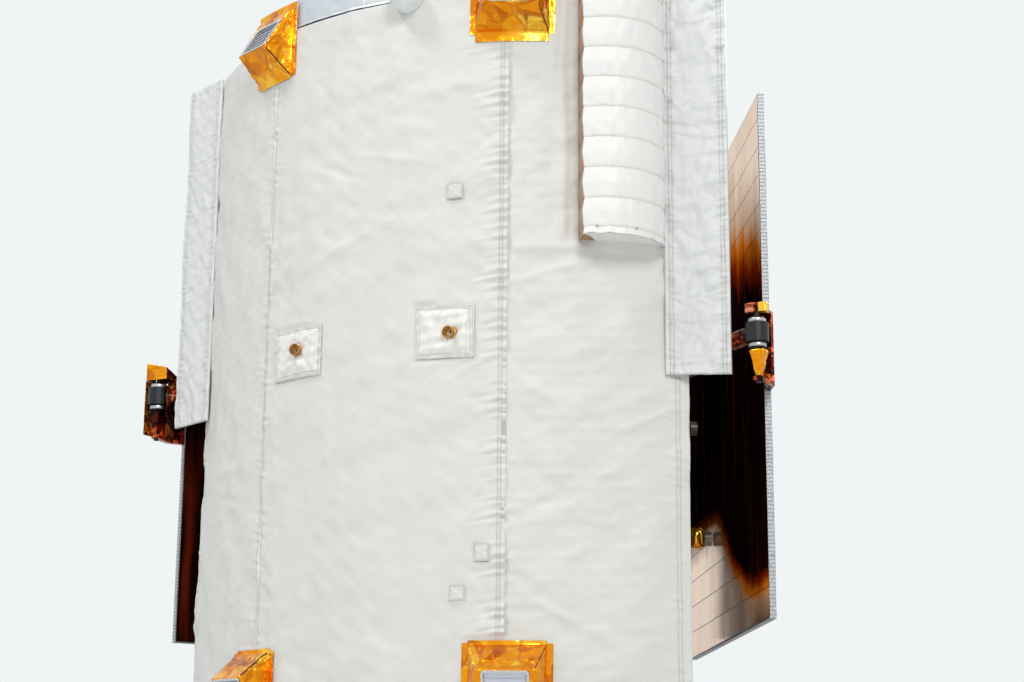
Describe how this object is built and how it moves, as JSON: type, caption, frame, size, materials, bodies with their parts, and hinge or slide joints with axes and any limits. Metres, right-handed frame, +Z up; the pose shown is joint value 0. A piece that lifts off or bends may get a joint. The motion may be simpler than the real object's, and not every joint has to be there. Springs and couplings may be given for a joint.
{
  "type": "planetary orbiter spacecraft",
  "caption": "Orbiter in launch form: curved cloth sunshade on a tube frame, boxed body on a ring, folded solar arrays and sensor boom, upward engine.",
  "frame": {"origin": "centre of the separation ring's bolt circle, on the ring's lower face", "axes": "+Z up along the ring's axis; -Y towards the sunshade; +X to the right seen from the shade's side"},
  "size_m": [2.334, 2.0125, 2.74],
  "materials": {
    "ring_metal": "machined",
    "deck_skin": "satin honeycomb skin",
    "dark_blanket": "black film blanket",
    "ceramic_cloth": "woven ceramic cloth",
    "quilted_cloth": "quilted ceramic cloth",
    "titanium_tube": "brushed",
    "pale_film": "pale film",
    "gold_foil": "crinkled gold film",
    "amber_film": "amber film",
    "sensor_glass": "ribbed window",
    "white_radome": "white paint",
    "nozzle_metal": "heat-tinted",
    "engine_metal": "heat-tinted",
    "plain_aluminium": "satin",
    "black_paint": "black anodised",
    "carbon_tube": "carbon laminate",
    "array_face": "mirror tiles and cells"
  },
  "bodies": {
    "bus": {"separation_ring": "ring_metal", "lower_deck": "deck_skin", "upper_deck": "deck_skin", "wall_front": "dark_blanket", "wall_right": "dark_blanket", "wall_rear_right": "dark_blanket", "wall_rear": "dark_blanket", "wall_rear_left": "dark_blanket", "wall_left": "dark_blanket", "shade_cloth": "ceramic_cloth", "shade_hoops": "titanium_tube", "shade_posts": "titanium_tube", "shade_struts": "titanium_tube", "top_collar": "pale_film", "shade_flap_left": "ceramic_cloth", "shade_flap_right": "ceramic_cloth", "antenna_cover": "quilted_cloth", "antenna_backing": "plain_aluminium", "thruster_pads": "ceramic_cloth", "sun_side_thrusters": "nozzle_metal", "sensor_boxes_upper": "gold_foil", "sensor_boxes_lower": "gold_foil", "sun_sensor_heads": "sensor_glass", "low_gain_antenna": "white_radome", "main_engine": "engine_metal", "engine_heat_shield": "plain_aluminium", "deck_thrusters": "engine_metal", "star_trackers": "black_paint", "electronics_boxes": "black_paint", "battery_box": "plain_aluminium", "rear_antenna": "white_radome", "imager_bracket": "plain_aluminium", "laser_altimeter": "plain_aluminium", "spectrometers": "plain_aluminium", "array_arm_left": "titanium_tube", "array_arm_right": "titanium_tube", "hinge_columns": "black_paint", "hinge_shrouds": "amber_film", "array_restraints": "plain_aluminium", "boom_mounts": "plain_aluminium"},
    "array_left": {"array_panel_left": "array_face", "array_yoke_left": "plain_aluminium", "array_wrap_left": "amber_film"},
    "array_right": {"array_panel_right": "array_face", "array_yoke_right": "plain_aluminium", "array_wrap_right": "amber_film"},
    "boom_inner_section": {"boom_inner": "carbon_tube"},
    "boom_outer_section": {"boom_outer": "carbon_tube", "magnetometer_head": "dark_blanket"},
    "imager_head": {"imager": "black_paint"}
  },
  "joints": [
    {"name": "array_left_deploy", "type": "hinge", "parent": "bus", "child": "array_left", "pos_m": [-1.127, -0.743, 1.4735], "axis": [0, 0, 1], "range_deg": [0, 120]},
    {"name": "array_right_deploy", "type": "hinge", "parent": "bus", "child": "array_right", "pos_m": [1.127, -0.743, 1.4735], "axis": [0, 0, -1], "range_deg": [0, 120]},
    {"name": "boom_root_deploy", "type": "hinge", "parent": "bus", "child": "boom_inner_section", "pos_m": [0, 0.58, 0.4], "axis": [-1, 0, 0], "range_deg": [0, 90]},
    {"name": "boom_elbow_deploy", "type": "hinge", "parent": "boom_inner_section", "child": "boom_outer_section", "pos_m": [0, 0.62, 2.1], "axis": [1, 0, 0], "range_deg": [0, 180]},
    {"name": "imager_tilt", "type": "hinge", "parent": "bus", "child": "imager_head", "pos_m": [0, -0.17, 0.12], "axis": [1, 0, 0], "range_deg": [-40, 50]}
  ],
  "couplings": [
    {"joint": "boom_elbow_deploy", "follows": "boom_root_deploy", "ratio": 2}
  ]
}
